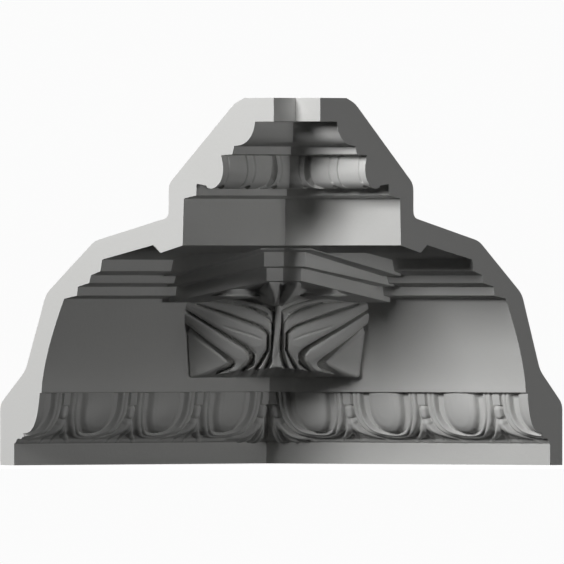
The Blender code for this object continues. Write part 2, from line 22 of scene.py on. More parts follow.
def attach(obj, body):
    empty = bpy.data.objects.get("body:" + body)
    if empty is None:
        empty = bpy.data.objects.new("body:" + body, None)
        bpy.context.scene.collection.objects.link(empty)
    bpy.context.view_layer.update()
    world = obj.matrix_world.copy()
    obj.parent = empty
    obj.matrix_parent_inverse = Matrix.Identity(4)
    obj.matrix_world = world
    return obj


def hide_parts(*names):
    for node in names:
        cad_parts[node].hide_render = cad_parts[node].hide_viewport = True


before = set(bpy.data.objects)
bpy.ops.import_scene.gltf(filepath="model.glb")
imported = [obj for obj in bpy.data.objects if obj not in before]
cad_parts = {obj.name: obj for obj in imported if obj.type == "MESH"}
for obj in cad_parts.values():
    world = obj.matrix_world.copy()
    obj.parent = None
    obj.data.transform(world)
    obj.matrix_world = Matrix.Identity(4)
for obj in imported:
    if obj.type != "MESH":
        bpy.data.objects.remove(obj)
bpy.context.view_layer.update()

LOG = logging.getLogger("inside_corner_moulding")
BODY = "root"
SOLID = "inside_corner_moulding"
SLOT = "primed_polyurethane"
MM = 0.001
ROOT_TWO = math.sqrt(2)
TINY = 1e-6

Array = np.ndarray
Pair = tuple[float, float]
Points = tuple[tuple[float, ...], ...]
Colour = tuple[float, float, float, float]
Pieces = list[bpy.types.Object]


class Wing(Enum):
    """The arm that a place belongs to, by the sign of X there."""

    LEFT = -1
    RIGHT = 1


@dataclass(frozen=True)
class CornerPlan:
    """Where the two arms stand in the frame."""

    arm_length: float = 0.305
    projection: float = 0.280
    height: float = 0.280

    @property
    def depth(self) -> float:
        """How far the room's corner lies behind the origin."""
        return (self.arm_length + self.projection) / (2 * ROOT_TWO)

    def on_arm(self, out: Array, along: Array, up: Array, wing: Wing) -> Array:
        """Places on an arm.

        Args:
            out: Distances from the arm's wall.
            along: Distances along the wall from the corner.
            up: Heights.
            wing: The arm.

        Returns:
            Places in the frame, with the three values last.
        """
        out, along, up = np.broadcast_arrays(out, along, up)
        x = wing.value * (along - out) / ROOT_TWO
        y = self.depth - (along + out) / ROOT_TWO
        return np.stack([x, y, up], axis=-1)

    def on_diagonal(self, across: Array, out: Array, up: Array) -> Array:
        """Places across from the mitre, out from the room's corner, and up."""
        across, out, up = np.broadcast_arrays(across, out, up)
        return np.stack([across, self.depth - out, up], axis=-1)


PLAN = CornerPlan()


def lies_between(values: Array, low: float, high: float) -> Array:
    """A smooth step from 0 at low to 1 at high."""
    share = np.clip((values - low) / (high - low), 0, 1)
    return share * share * (3 - 2 * share)


def eased(
    corners: Sequence[Sequence[float]],
    radius: float,
    turn: float = 15.0,
    edge_share: float = 0.4,
    steps: int = 4,
) -> list[Array]:
    """An open outline with its sharp corners worn round.

    Args:
        corners: The outline's corners.
        radius: How far before and after a corner its rounding reaches.
        turn: The least turn of a corner that is rounded, in degrees.
        edge_share: The most of an edge that a rounding takes up.
        steps: The steps in a rounding.

    Returns:
        The new outline.
    """
    points = [np.array(corner, dtype=float) for corner in corners]
    made = [points[0]]
    for before, corner, after in zip(points, points[1:], points[2:]):
        inward, onward = corner - before, after - corner
        lengths = np.linalg.norm(inward), np.linalg.norm(onward)
        angle = math.degrees(math.acos(np.clip(inward @ onward / (lengths[0] * lengths[1]), -1, 1)))
        if angle < turn:
            made.append(corner)
            continue
        reach = min(radius, edge_share * lengths[0], edge_share * lengths[1])
        start, end = corner - inward / lengths[0] * reach, corner + onward / lengths[1] * reach
        for t in np.linspace(0, 1, steps + 1):
            made.append((1 - t) ** 2 * start + 2 * t * (1 - t) * corner + t * t * end)
    return made + [points[-1]]


def bowed(start: Sequence[float], end: Sequence[float], bow: Sequence[float], steps: int = 16) -> Array:
    """Points of a curve between two places.

    Args:
        start: Its first place.
        end: Its last place.
        bow: Its control point, as shares of the step from start to end.
        steps: The steps in it.

    Returns:
        The points, one to a row.
    """
    start, end = np.array(start), np.array(end)
    control = start + (end - start) * np.array(bow)
    t = np.linspace(0, 1, steps + 1)[:, None]
    return (1 - t) ** 2 * start + 2 * t * (1 - t) * control + t * t * end


def smooth_run(values: Array, steps: int) -> Array:
    """A smooth run through values.

    Args:
        values: The values, one after the other along the first axis.
        steps: The steps in the gap between each two of them.

    Returns:
        The run, with the values among it.
    """
    last = len(values) - 1
    made = []
    for index in range(last):
        before, after = values[max(index - 1, 0)], values[min(index + 2, last)]
        first, second = values[index], values[index + 1]
        linear = second - before
        square = 2 * before - 5 * first + 4 * second - after
        cube = 3 * first - before - 3 * second + after
        for t in np.arange(steps) / steps:
            made.append(0.5 * (2 * first + linear * t + square * t**2 + cube * t**3))
    return np.array(made + [values[-1]])


def rib(x: Array, y: Array, stations: Points, fullness: float = 0.6) -> Array:
    """How proud a tapering rib stands.

    Args:
        x: First coordinate of each place.
        y: Second coordinate of each place.
        stations: Along the rib: its two coordinates, half its width and its height.
        fullness: The power that shapes its section. Less is fuller.

    Returns:
        The rib's height at each place.
    """
    proud = np.zeros(np.broadcast(x, y).shape)
    for (x0, y0, w0, h0), (x1, y1, w1, h1) in zip(stations, stations[1:]):
        dx, dy = x1 - x0, y1 - y0
        t = np.clip(((x - x0) * dx + (y - y0) * dy) / (dx * dx + dy * dy), 0, 1)
        near = np.hypot(x - x0 - t * dx, y - y0 - t * dy) / (w0 + t * (w1 - w0))
        proud = np.maximum(proud, (h0 + t * (h1 - h0)) * np.clip(1 - near * near, 0, 1) ** fullness)
    return proud


def softened(
    stations: Points, blur: float, reach: float, steps: int = 1600, spread: int = 60
) -> tuple[Array, Array]:
    """A broken line as a table with its corners blurred.

    Args:
        stations: The line's corners.
        blur: How far the corners blur.
        reach: Where the table ends.
        steps: The table's length.
        spread: How many places each way a blurred value takes in.

    Returns:
        The table's places and values.
    """
    grid = np.linspace(0, reach, steps)
    line = np.interp(grid, *np.array(stations).T)
    kernel = np.exp(-0.5 * (np.arange(-spread, spread + 1) * (grid[1] / blur)) ** 2)
    padded = np.concatenate([line[spread:0:-1], line, np.full(spread, line[-1])])
    return grid, np.convolve(padded, kernel / kernel.sum(), "valid")


@dataclass(frozen=True)
class Casting:
    """Turns grids of places into pieces of the casting, all in one finish. The crease is in degrees."""

    finish: bpy.types.Material
    crease: float = 38.0

    def tube(self, name: str, loop: Array) -> bpy.types.Object:
        """A closed piece whose section is a loop of rows, capped at its first and last column.

        Args:
            name: The piece's name.
            loop: Places as rows, columns and three values. The last row joins the first.

        Returns:
            The piece, riding on the body and standing in for the solid.
        """
        rows, columns = loop.shape[:2]
        index = np.arange(rows * columns).reshape(rows, columns)
        upper = np.roll(index, -1, axis=0)
        quads = np.stack([index[:, :-1], index[:, 1:], upper[:, 1:], upper[:, :-1]], axis=-1).reshape(-1, 4)
        faces = quads.tolist() + [index[::-1, 0].tolist(), index[:, -1].tolist()]
        mesh = bpy.data.meshes.new(name)
        mesh.from_pydata(loop.reshape(-1, 3).tolist(), [], faces)
        return self.dressed(name, mesh)

    def dressed(self, name: str, mesh: bpy.types.Mesh) -> bpy.types.Object:
        """Puts a closed mesh in the scene as a piece, smooth between its creases.

        Args:
            name: The piece's name.
            mesh: The closed mesh.

        Returns:
            The piece, riding on the body and standing in for the solid.
        """
        sheet = bmesh.new()
        sheet.from_mesh(mesh)
        bmesh.ops.recalc_face_normals(sheet, faces=sheet.faces)
        sheet.to_mesh(mesh)
        sheet.free()
        mesh.shade_smooth()
        mesh.set_sharp_from_angle(angle=math.radians(self.crease))
        mesh.materials.append(self.finish)
        piece = bpy.data.objects.new(name, mesh)
        bpy.context.scene.collection.objects.link(piece)
        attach(piece, BODY)
        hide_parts(SOLID)
        return piece


class Value:
    """A shader's value, which operators turn into Math nodes."""

    def __init__(self, board: "Board", socket: bpy.types.NodeSocket) -> None:
        """Wraps a socket of a board."""
        self.board = board
        self.socket = socket

    def reckoned(self, operation: str, *values: Any) -> "Value":
        """The value that a Math node works out from values in their order."""
        node = self.board.node("ShaderNodeMath", {"operation": operation}, dict(enumerate(values)))
        return Value(self.board, node.outputs[0])

    def __add__(self, other: Any) -> "Value":
        """self + other."""
        return self.reckoned("ADD", self, other)

    def __sub__(self, other: Any) -> "Value":
        """self - other."""
        return self.reckoned("SUBTRACT", self, other)

    def __mul__(self, other: Any) -> "Value":
        """self * other."""
        return self.reckoned("MULTIPLY", self, other)


class Board:
    """A node tree that is being wired."""

    def __init__(self, tree: bpy.types.NodeTree) -> None:
        """Takes over a tree and clears it."""
        self.tree = tree
        tree.nodes.clear()

    def node(self, kind: str, settings: dict[str, Any], inputs: dict[Any, Any]) -> bpy.types.Node:
        """Adds a node.

        Args:
            kind: The node's type.
            settings: Its settings, set before its sockets.
            inputs: The value, wrapped value or output that goes into each of its sockets.

        Returns:
            The node.
        """
        made = self.tree.nodes.new(kind)
        for name, setting in settings.items():
            setattr(made, name, setting)
        for name, value in inputs.items():
            if isinstance(value, Value):
                value = value.socket
            if isinstance(value, bpy.types.NodeSocket):
                self.tree.links.new(value, made.inputs[name])
            else:
                made.inputs[name].default_value = value
        return made

    def place(self) -> bpy.types.NodeSocket:
        """The place on the object."""
        return self.node("ShaderNodeTexCoord", {}, {}).outputs["Object"]

    def noise(
        self, place: bpy.types.NodeSocket, scale: float, detail: float, roughness: float = 0.5
    ) -> Value:
        """A noise over the place, in waves to the metre."""
        inputs = {"Vector": place, "Scale": scale, "Detail": detail, "Roughness": roughness}
        return Value(self, self.node("ShaderNodeTexNoise", {}, inputs).outputs["Fac"])

    def mixed(self, factor: Value, first: Colour, second: Colour) -> bpy.types.NodeSocket:
        """A colour that goes from the first to the second as the factor goes from 0 to 1."""
        inputs = {"Factor": factor, 6: first, 7: second}
        return self.node("ShaderNodeMix", {"data_type": "RGBA"}, inputs).outputs[2]

    def surface(self, inputs: dict[str, Any]) -> None:
        """Ends the tree with a surface of these inputs."""
        shader = self.node("ShaderNodeBsdfPrincipled", {}, inputs)
        self.node("ShaderNodeOutputMaterial", {}, {"Surface": shader.outputs["BSDF"]})


@dataclass(frozen=True)
class FactoryPrimer:
    """Matt white primer, sprayed on dense cast foam at the factory. Scales are in waves to the metre."""

    name: str = SLOT
    light: Colour = (0.815, 0.815, 0.805, 1.0)
    dull: Colour = (0.785, 0.785, 0.768, 1.0)
    roughness: float = 0.60
    roughness_spread: float = 0.10
    specular: float = 0.35
    cloud_scale: float = 14.0
    cloud_detail: float = 3.0
    cloud_share: float = 0.75
    cloud_middle: float = 0.5
    peel_scale: float = 330.0
    peel_depth: float = 0.00008
    grain_scale: float = 1900.0
    grain_depth: float = 0.00003
    grain_roughness: float = 0.6
    fine_detail: float = 2.0

    def material(self) -> bpy.types.Material:
        """The finish as a material."""
        made = bpy.data.materials.new(self.name)
        made.use_nodes = True
        made.diffuse_color = self.light
        board = Board(made.node_tree)
        place = board.place()
        cloud = board.noise(place, self.cloud_scale, self.cloud_detail)
        peel = board.noise(place, self.peel_scale, self.fine_detail)
        grain = board.noise(place, self.grain_scale, self.fine_detail, self.grain_roughness)
        shade = cloud * self.cloud_share + grain * (1 - self.cloud_share)
        relief = peel * (self.peel_depth / self.grain_depth) + grain
        bump = board.node(
            "ShaderNodeBump", {}, {"Strength": 1.0, "Distance": self.grain_depth, "Height": relief}
        )
        board.surface(
            {
                "Base Color": board.mixed(shade, self.dull, self.light),
                "Roughness": (cloud - self.cloud_middle) * self.roughness_spread + self.roughness,
                "Metallic": 0.0,
                "Specular IOR Level": self.specular,
                "Normal": bump.outputs["Normal"],
            }
        )
        return made


@dataclass(frozen=True)
class PaleFloor:
    """The floor's matt paint."""

    name: str = "pale_floor"
    tint: Colour = (0.26, 0.26, 0.255, 1.0)
    shade: Colour = (0.24, 0.24, 0.235, 1.0)
    cloud_scale: float = 6.0
    cloud_detail: float = 2.0
    roughness: float = 0.9
    glow: float = 0.90
    glow_colour: Colour = (1.0, 1.0, 1.0, 1.0)

    def material(self) -> bpy.types.Material:
        """The finish as a material."""
        made = bpy.data.materials.new(self.name)
        made.use_nodes = True
        board = Board(made.node_tree)
        cloud = board.noise(board.place(), self.cloud_scale, self.cloud_detail)
        board.surface(
            {
                "Base Color": board.mixed(cloud, self.shade, self.tint),
                "Roughness": self.roughness,
                "Emission Color": self.glow_colour,
                "Emission Strength": self.glow,
            }
        )
        return made


@dataclass(frozen=True)
class PlainMembers:
    """The moulded face and the plain back, with shallow seats for the two carved bands.

    Each place is given out from the wall and up. The ovolos, the frieze and the bead are curves: a start, an
    end and a bow.
    """

    base: Points = ((0.0143, 0.0), (0.0143, 0.0165))
    ovolo: Points = ((0.0149, 0.0169), (0.0350, 0.0552), (0.84, 0.11))
    frieze: Points = ((0.0425, 0.0555), (0.0659, 0.1275), (0.06, 0.37))
    bed: Points = (
        (0.0789, 0.1298), (0.0800, 0.1367), (0.0915, 0.1394), (0.0935, 0.1455), (0.1030, 0.1485),
        (0.1050, 0.1574),
    )
    corona: Points = (
        (0.1570, 0.1684), (0.1647, 0.1624), (0.1873, 0.1681), (0.1885, 0.2038), (0.2011, 0.2061),
        (0.2015, 0.2149),
    )
    bead: Points = ((0.2122, 0.2135), (0.2252, 0.2365), (1.22, 0.12))
    crown: Points = ((0.2379, 0.2373), (0.2398, 0.2435))
    crown_ovolo: Points = ((0.2470, 0.2444), (0.2609, 0.2620), (0.90, 0.23))
    lip: Points = ((0.2800, 0.2620), (0.2800, 0.2800))
    back: Points = (
        (0.2500, 0.2800), (0.2402, 0.2760), (0.1730, 0.2149), (0.1730, 0.1894), (0.0970, 0.1716),
        (0.0472, 0.1312), (0.0260, 0.0725), (0.0, 0.0470), (0.0, 0.0),
    )
    seat_depth: float = 0.0025
    edge_wear: float = 0.0005
    back_rounding: float = 0.005

    def seat(self, curve: Points) -> list[Array]:
        """A band's ground, sunk by the seat's depth.

        Args:
            curve: The ground's start, end and bow.

        Returns:
            The seat's outline, with the ground's own two ends.
        """
        points = bowed(*curve)
        run = np.gradient(points, axis=0)
        normals = np.stack([run[:, 1], -run[:, 0]], axis=1) / np.linalg.norm(run, axis=1)[:, None]
        sunk = points - normals * self.seat_depth
        sunk[:, 1] = np.clip(sunk[:, 1], points[0, 1] + self.edge_wear, points[-1, 1])
        return [points[0], *sunk, points[-1]]

    def outline(self) -> Array:
        """The whole section, round from the foot of the face."""
        face = [
            *self.base, *self.seat(self.ovolo), *bowed(*self.frieze), *self.bed, *self.corona,
            *self.seat(self.bead), *self.crown, *bowed(*self.crown_ovolo), *self.lip,
        ]
        return np.array([*eased(face, self.edge_wear), *eased(self.back, self.back_rounding)])

    def build(self, casting: Casting) -> Pieces:
        """Sweeps the section along both arms.

        Args:
            casting: Its maker.

        Returns:
            The piece.
        """
        out, up = self.outline().T
        end = np.full_like(out, PLAN.arm_length)
        rings = [
            PLAN.on_arm(out, end, up, Wing.LEFT),
            PLAN.on_arm(out, out, up, Wing.LEFT),
            PLAN.on_arm(out, end, up, Wing.RIGHT),
        ]
        return [casting.tube("plain_members", np.stack(rings, axis=1))]


@dataclass(frozen=True)
class CarvedBand:
    """A band of egg and dart, carved on a plain curve. Lengths are in millimetres, but not the curve's.

    The first dart's place is along the wall, and the foot is the lower edge of the band's hidden back.
    """

    name: str
    curve: Points
    first_dart: float
    pitch: float
    section: Points
    section_reach: float
    blur: float
    rows: int
    columns: int
    foot: Pair
    head_overlap: float = 1.3
    seat: float = 3.2
    end_clear: float = 0.02
    ground_steps: int = 200
    mitre_tries: int = 40
    mitre_spread: float = 3.2

    def line(self) -> Array:
        """Points of the plain curve that the band is carved on."""
        return bowed(*self.curve, steps=self.ground_steps) / MM

    def height(self) -> float:
        """The band's height along its plain curve."""
        return float(np.linalg.norm(np.diff(self.line(), axis=0), axis=1).sum())

    def ground(self, up: Array) -> tuple[Array, Array]:
        """The band's plain ground.

        Args:
            up: Distances up the band.

        Returns:
            The places out and up, and the outward normals there.
        """
        points = self.line()
        run = np.gradient(points, axis=0)
        lengths = np.concatenate([[0], np.cumsum(np.linalg.norm(np.diff(points, axis=0), axis=1))])
        tangents = run / np.linalg.norm(run, axis=1)[:, None]
        inside = np.clip(up, 0, lengths[-1])
        place = np.stack([np.interp(inside, lengths, points[:, i]) for i in (0, 1)], axis=-1)
        tangent = np.stack([np.interp(inside, lengths, tangents[:, i]) for i in (0, 1)], axis=-1)
        place = place + tangent * (up - inside)[..., None]
        return place, np.stack([tangent[..., 1], -tangent[..., 0]], axis=-1)

    def egg(self, along: Array) -> tuple[Array, Array]:
        """Each place's egg and its distance beyond the middle of it."""
        egg = np.maximum(np.round((along - self.first_dart) / self.pitch - 0.5), 0)
        return egg, along - self.first_dart - (egg + 0.5) * self.pitch

    def proud(self, along: Array, up: Array) -> Array:
        """How far the carving stands out of its ground. Each band has its own."""
        raise NotImplementedError

    def wing(self, wing: Wing) -> tuple[Array, Array]:
        """The band on one arm, from the mitre out.

        Args:
            wing: The arm.

        Returns:
            The carved front and the seat behind it, each as rows, columns and three values.
        """
        up = np.linspace(0, self.height() + self.head_overlap, self.rows)[:, None]
        place, normal = self.ground(up[:, 0])
        mitre = place[:, :1]
        for _ in range(self.mitre_tries):
            mitre = (mitre + place[:, :1] + normal[:, :1] * self.proud(mitre, up)) / 2
        first = float(mitre.mean())
        spread = self.mitre_spread * float(np.abs(mitre - first).max())
        even = np.linspace(first, PLAN.arm_length / MM, self.columns)[None, :]
        pull = np.clip(1 - (even - first) / spread, 0, 1)
        along = even + (mitre - first) * pull
        proud = self.proud(along, up)
        proud[:, 0] = (mitre[:, 0] - place[:, 0]) / normal[:, 0]
        out = place[:, :1] + normal[:, :1] * proud
        height = place[:, 1:] + normal[:, 1:] * proud
        along = along + (even - first) / (even[0, -1] - first) * self.end_clear
        front = PLAN.on_arm(out * MM, along * MM, height * MM, wing)
        seat = np.stack([np.array(self.foot), place[-1] - normal[-1] * self.seat])
        behind = along[[0, -1]] + (seat[:, :1] - mitre[[0, -1]]) * pull
        return front, PLAN.on_arm(seat[:, :1] * MM, behind * MM, seat[:, 1:] * MM, wing)

    def build(self, casting: Casting) -> Pieces:
        """The band over both arms, its left and right fronts joined at the mitre.

        Args:
            casting: Its maker.

        Returns:
            The piece.
        """
        left, left_seat = self.wing(Wing.LEFT)
        right, right_seat = self.wing(Wing.RIGHT)
        front = np.concatenate([left[:, :0:-1], right], axis=1)
        seat = np.concatenate([left_seat[:, :0:-1], right_seat], axis=1)
        return [casting.tube(self.name, np.concatenate([front, seat[::-1]]))]


@dataclass(frozen=True)
class BigEggAndDart(CarvedBand):
    """The band on the ovolo over the base: eggs in double-rimmed shells, and darts that open into a leaf.

    The section runs outwards from the middle of an egg, over its shell, along outlines whose half widths and
    drops below the centre go together. The dart's strands are ribs across from its line and up the band.
    Low down the carving is tucked in over the base, but by the mitre it hangs, no prouder than its brim.
    """

    name: str = "big_egg_and_dart"
    curve: Points = PlainMembers.ovolo
    first_dart: float = 42.0
    pitch: float = 76.25
    section: Points = (
        (0.0, 5.8), (6.0, 5.6), (11.0, 5.0), (14.5, 3.8), (16.6, 1.8), (17.4, 0.0), (23.7, 0.0), (24.7, 3.6),
        (26.0, 4.3), (27.3, 3.8), (27.9, 2.3), (28.5, 3.6), (30.2, 4.4), (32.0, 3.8), (33.2, 0.6),
        (33.6, 0.0), (90.0, 0.0),
    )
    section_reach: float = 90.0
    blur: float = 0.35
    rows: int = 76
    columns: int = 500
    foot: Pair = (12.0, 15.9)
    darts: int = 4
    centre: float = 10.2
    widths: tuple[float, ...] = (0.0, 17.3, 24.5, 28.0, 33.0, 90.0)
    drops: tuple[float, ...] = (0.0, 23.3, 24.5, 26.8, 30.0, 87.0)
    halvings: int = 30
    collar_proud: float = 3.9
    collar_side: Pair = (3.7, 4.9)
    collar_foot: Pair = (36.1, 37.3)
    bead: Points = ((0.0, 33.4, 4.3, 4.9), (0.0, 29.6, 4.3, 4.9))
    bead_fullness: float = 0.5
    neck: Points = ((0.0, 25.6, 3.4, 3.6), (1.2, 22.8, 3.8, 4.4), (2.2, 19.0, 3.4, 4.4))
    strand: Points = (
        (2.2, 20.0, 2.9, 4.4), (3.4, 13.5, 2.1, 3.7), (5.0, 6.5, 1.8, 2.8), (6.0, -1.4, 1.5, 0.6),
    )
    branch: Points = (
        (2.6, 21.0, 2.6, 4.2), (5.8, 16.4, 2.7, 4.6), (9.6, 12.4, 2.6, 4.6), (13.6, 9.2, 2.4, 4.2),
        (18.0, 6.4, 2.1, 3.4), (24.0, 1.0, 1.6, 1.4), (27.0, -2.0, 1.2, 0.3),
    )
    straight_branch: Points = (
        (2.6, 21.0, 2.6, 4.2), (5.4, 16.4, 2.7, 4.4), (7.8, 10.0, 2.4, 4.0), (9.2, 4.0, 2.0, 3.0),
        (9.8, -2.0, 1.4, 0.6),
    )
    foot_share: float = 0.25
    whole_height: float = 23.0
    sink: float = 2.0
    sink_start: Pair = (0.0, 4.0)
    sink_end: Pair = (9.0, 18.0)
    brim: float = 1.6
    brim_rise: float = 0.3
    mitre_reach: Pair = (44.0, 72.0)

    def level(self, across: Array, fall: Array) -> Array:
        """The half width of the egg's or shell's outline that passes through each place.

        Args:
            across: Distances from the egg's middle.
            fall: Distances below the centre that the outlines are drawn round.

        Returns:
            The outlines' half widths.
        """
        fall = np.maximum(fall, 0)
        low, high = np.zeros(across.shape), np.full(across.shape, self.section_reach)
        for _ in range(self.halvings):
            middle = (low + high) / 2
            drop = np.interp(middle, self.widths, self.drops)
            inside = (across / np.maximum(middle, TINY)) ** 2 + (fall / np.maximum(drop, TINY)) ** 2 < 1
            low, high = np.where(inside, low, middle), np.where(inside, middle, high)
        return (low + high) / 2

    def dart(self, across: Array, up: Array, by_mitre: Array) -> Array:
        """A collar, a bead, and a leaf of two inner strands and two side branches.

        Args:
            across: Distances from the dart's line.
            up: Distances up the band.
            by_mitre: Where the branch faces the mitre and hangs straight.

        Returns:
            How proud each place stands.
        """
        side = np.broadcast_to(np.abs(across), np.broadcast(across, up).shape)
        collar = 1 - lies_between(side, *self.collar_side)
        collar = self.collar_proud * collar * lies_between(up, *self.collar_foot)
        bead = rib(side, up, self.bead, self.bead_fullness)
        branch = np.where(by_mitre, rib(side, up, self.straight_branch), rib(side, up, self.branch))
        return np.maximum.reduce([collar, bead, rib(side, up, self.neck), rib(side, up, self.strand), branch])

    def proud(self, along: Array, up: Array) -> Array:
        """How far the carving stands out of its ground.

        Args:
            along: Distances along the wall.
            up: Distances up the band.

        Returns:
            The carving's height at each place.
        """
        level = self.level(np.abs(self.egg(along)[1]), self.height() - self.centre - up)
        shells = np.interp(level, *softened(self.section, self.blur, self.section_reach))
        index = np.clip(np.round((along - self.first_dart) / self.pitch), 0, self.darts - 1)
        offset = along - self.first_dart - index * self.pitch
        carved = np.maximum(shells, self.dart(offset, up, (index == 0) & (offset < 0)))
        share = self.foot_share + (1 - self.foot_share) * lies_between(up, 0.0, self.whole_height)
        sunk = lies_between(up, *self.sink_start) * (1 - lies_between(up, *self.sink_end))
        tucked = carved * share - self.sink * sunk
        hanging = np.minimum(carved, self.brim + self.brim_rise * np.maximum(up, 0))
        return hanging + (tucked - hanging) * lies_between(along, *self.mitre_reach)


@dataclass(frozen=True)
class SmallEggAndDart(CarvedBand):
    """The band under the crown: close smooth eggs, almost flush, with a deep pit at each dart's foot.

    The section runs up the band. The groove and the pit are across from a dart's line, and the channels
    across from the middle of an egg, on its side by the mitre. One egg has the deep channel.
    """

    name: str = "small_egg_and_dart"
    curve: Points = PlainMembers.bead
    first_dart: float = 207.4
    pitch: float = 30.5
    section: Points = (
        (0.0, 1.0), (2.0, 2.8), (5.0, 3.8), (11.0, 4.2), (18.0, 3.6), (24.0, 2.4), (28.5, 1.4), (40.0, 0.0),
    )
    section_reach: float = 40.0
    blur: float = 1.0
    rows: int = 80
    columns: int = 300
    foot: Pair = (209.0, 216.5)
    groove: Points = ((0.0, 34.0, 1.7, 1.1), (0.0, 12.0, 1.5, 0.8))
    groove_fullness: float = 1.0
    pit: Points = ((0.0, 5.4, 3.4, 6.0), (0.0, 1.0, 5.4, 6.6), (0.0, -4.0, 5.6, 6.6))
    pit_fullness: float = 0.3
    thin_channel: Points = ((-6.6, 30.0, 1.1, 1.7), (-6.6, 9.0, 0.9, 0.9), (-4.6, 6.0, 0.8, 0.4))
    deep_channel: Points = (
        (-7.0, 30.0, 3.6, 6.4), (-7.0, 13.0, 3.5, 6.4), (-5.6, 9.0, 2.8, 5.6), (-2.6, 6.4, 2.2, 4.2),
        (0.8, 5.2, 1.4, 2.0),
    )
    deep_fullness: float = 0.35
    deep_egg: int = 1
    floor: float = -2.1

    def proud(self, along: Array, up: Array) -> Array:
        """The bulging eggs, less what is cut into them.

        Args:
            along: Distances along the wall.
            up: Distances up the band.

        Returns:
            The carving's height at each place.
        """
        along, up = np.broadcast_arrays(along, up)
        bulge = np.interp(up, *softened(self.section, self.blur, self.section_reach))
        egg, across = self.egg(along)
        from_dart = np.abs(np.abs(across) - self.pitch / 2)
        groove = rib(from_dart, up, self.groove, self.groove_fullness)
        pit = rib(from_dart, up, self.pit, self.pit_fullness)
        deep = rib(across, up, self.deep_channel, self.deep_fullness)
        channel = np.where(egg == self.deep_egg, deep, rib(across, up, self.thin_channel))
        return np.maximum(bulge - np.maximum.reduce([groove, pit, channel]), self.floor)


@dataclass(frozen=True)
class StepCap:
    """The bracket's cap: three fasciae that slope back to the wall, each with a narrow front by the mitre.

    The values go from the lowest fascia up. A front gives how far out it is and its width on each arm. The
    flare is how far the sides spread on their way back to the wall member there. The soffit that the top one
    is buried in is given by a place out and up and its slope. The sharp angle is in radians.
    """

    fronts: Points = ((0.1660, 0.0188), (0.1715, 0.0224), (0.1790, 0.0272))
    flares: tuple[float, ...] = (0.0072, 0.0137, 0.0175)
    heights: tuple[float, ...] = (0.1410, 0.1520, 0.1650)
    slopes: tuple[float, ...] = (0.175, 0.177, 0.248)
    walls: tuple[float, ...] = (0.0800, 0.0935, 0.1050)
    soffit: tuple[float, float, float] = (0.1570, 0.1684, 0.2115)
    overlap: float = 0.004
    edge_wear: float = 0.0005
    wear_segments: int = 2
    sharp: float = 0.3

    def bottom(self, index: int, out: float) -> float:
        """The height of a fascia's lower edge at a distance from the wall."""
        return self.heights[index] - self.slopes[index] * (self.fronts[index][0] - out)

    def top(self, index: int, out: float) -> float:
        """The height at which a fascia is buried in what lies over it."""
        if index < len(self.fronts) - 1:
            return self.bottom(index + 1, out) + self.overlap
        return self.soffit[1] + self.overlap + (out - self.soffit[0]) * self.soffit[2]

    def tier(self, index: int, casting: Casting) -> bpy.types.Object:
        """One fascia, over both arms. Its lower and upper faces are parted at the mitre, where they fold.

        Args:
            index: Which fascia, from the lowest up.
            casting: What dresses it.

        Returns:
            The piece.
        """
        front, strip = self.fronts[index]
        back = self.walls[index] - 2 * self.overlap
        side = front + strip
        flare = self.flares[index] / (front - self.walls[index])
        half = [(front, front), (front, side), (back, side + flare * (front - back)), (back, back)]
        plan = [(out, along, Wing.RIGHT) for out, along in half]
        plan += [(out, along, Wing.LEFT) for out, along in half[2:0:-1]]
        mesh = bmesh.new()
        rings = []
        for level in (self.bottom, self.top):
            places = [PLAN.on_arm(out, along, level(index, out), wing) for out, along, wing in plan]
            rings.append([mesh.verts.new(place) for place in places])
        for half_ring in ((0, 1, 2, 3), (0, 3, 4, 5)):
            mesh.faces.new([rings[0][i] for i in reversed(half_ring)])
            mesh.faces.new([rings[1][i] for i in half_ring])
        for i in range(len(plan)):
            j = (i + 1) % len(plan)
            mesh.faces.new((rings[0][i], rings[0][j], rings[1][j], rings[1][i]))
        bmesh.ops.recalc_face_normals(mesh, faces=mesh.faces)
        shown = [edge for edge in mesh.edges if edge.calc_face_angle(0) > self.sharp]
        bmesh.ops.bevel(
            mesh, geom=shown, offset=self.edge_wear, segments=self.wear_segments, affect="EDGES", profile=0.5
        )
        data = bpy.data.meshes.new(f"cap_fascia_{index + 1}")
        mesh.to_mesh(data)
        mesh.free()
        return casting.dressed(data.name, data)

    def build(self, casting: Casting) -> Pieces:
        """All three fasciae, the lowest first."""
        return [self.tier(index, casting) for index in range(len(self.fronts))]


